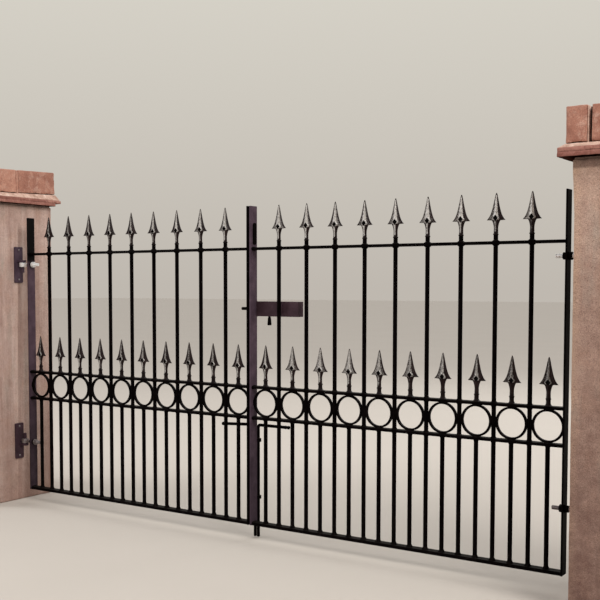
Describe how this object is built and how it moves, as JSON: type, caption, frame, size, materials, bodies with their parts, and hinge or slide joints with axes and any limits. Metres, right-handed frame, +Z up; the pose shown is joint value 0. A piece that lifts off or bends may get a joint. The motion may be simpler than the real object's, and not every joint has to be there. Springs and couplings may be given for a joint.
{
  "type": "wrought iron driveway gate pair with piers",
  "caption": "Closed pair of black wrought iron driveway gates with spear finials and a ring band, hung between two rendered piers with brick copings.",
  "frame": {"origin": "on the ground, at the middle of the whole gateway in length and depth", "axes": "+X runs along the gates from the left pier to the right one as seen from the road, +Y points in from the road, +Z is up"},
  "size_m": [3.506, 0.486, 1.4908],
  "materials": {
    "painted_iron": "gloss",
    "zinc": "satin",
    "render": "matte",
    "creasing_tile": "matte",
    "coping_brick": "matte"
  },
  "bodies": {
    "piers": {"left_pier": "render", "left_tile_course": "creasing_tile", "left_coping": "coping_brick", "left_upper_hinge_bracket": "painted_iron", "left_lower_hinge_bracket": "painted_iron", "right_pier": "render", "right_tile_course": "creasing_tile", "right_coping": "coping_brick", "right_upper_hinge_bracket": "painted_iron", "right_lower_hinge_bracket": "painted_iron"},
    "left_leaf": {"left_hinge_stile": "painted_iron", "left_meeting_stile": "painted_iron", "left_top_rail": "painted_iron", "left_upper_band_rail": "painted_iron", "left_lower_band_rail": "painted_iron", "left_bottom_rail": "painted_iron", "left_rings": "painted_iron", "left_tall_bars": "painted_iron", "left_dog_bars": "painted_iron", "left_top_finials": "painted_iron", "left_dog_finials": "painted_iron", "left_upper_eye_bolt": "zinc", "left_lower_eye_bolt": "zinc", "left_bolt_guides": "painted_iron", "latch_keeper": "painted_iron"},
    "right_leaf": {"right_hinge_stile": "painted_iron", "right_meeting_stile": "painted_iron", "right_top_rail": "painted_iron", "right_upper_band_rail": "painted_iron", "right_lower_band_rail": "painted_iron", "right_bottom_rail": "painted_iron", "right_rings": "painted_iron", "right_tall_bars": "painted_iron", "right_dog_bars": "painted_iron", "right_top_finials": "painted_iron", "right_dog_finials": "painted_iron", "right_upper_eye_bolt": "zinc", "right_lower_eye_bolt": "zinc", "right_bolt_guides": "painted_iron", "latch_case": "painted_iron", "stop_plate": "painted_iron"},
    "latch_bolt": {"latch_bolt": "painted_iron"},
    "left_drop_bolt": {"left_drop_bolt": "painted_iron"},
    "right_drop_bolt": {"right_drop_bolt": "painted_iron"}
  },
  "joints": [
    {"name": "left_leaf_swing", "type": "hinge", "parent": "piers", "child": "left_leaf", "pos_m": [-1.273, 0.015, 0.268], "axis": [0, 0, 1], "range_deg": [0, 90]},
    {"name": "right_leaf_swing", "type": "hinge", "parent": "piers", "child": "right_leaf", "pos_m": [1.273, 0.015, 0.268], "axis": [0, 0, -1], "range_deg": [0, 90]},
    {"name": "latch_slide", "type": "slide", "parent": "right_leaf", "child": "latch_bolt", "axis": [1, 0, 0], "range_m": [0, 0.084]},
    {"name": "left_drop_slide", "type": "slide", "parent": "left_leaf", "child": "left_drop_bolt", "axis": [0, 0, 1], "range_m": [0, 0.08]},
    {"name": "right_drop_slide", "type": "slide", "parent": "right_leaf", "child": "right_drop_bolt", "axis": [0, 0, 1], "range_m": [0, 0.08]}
  ]
}
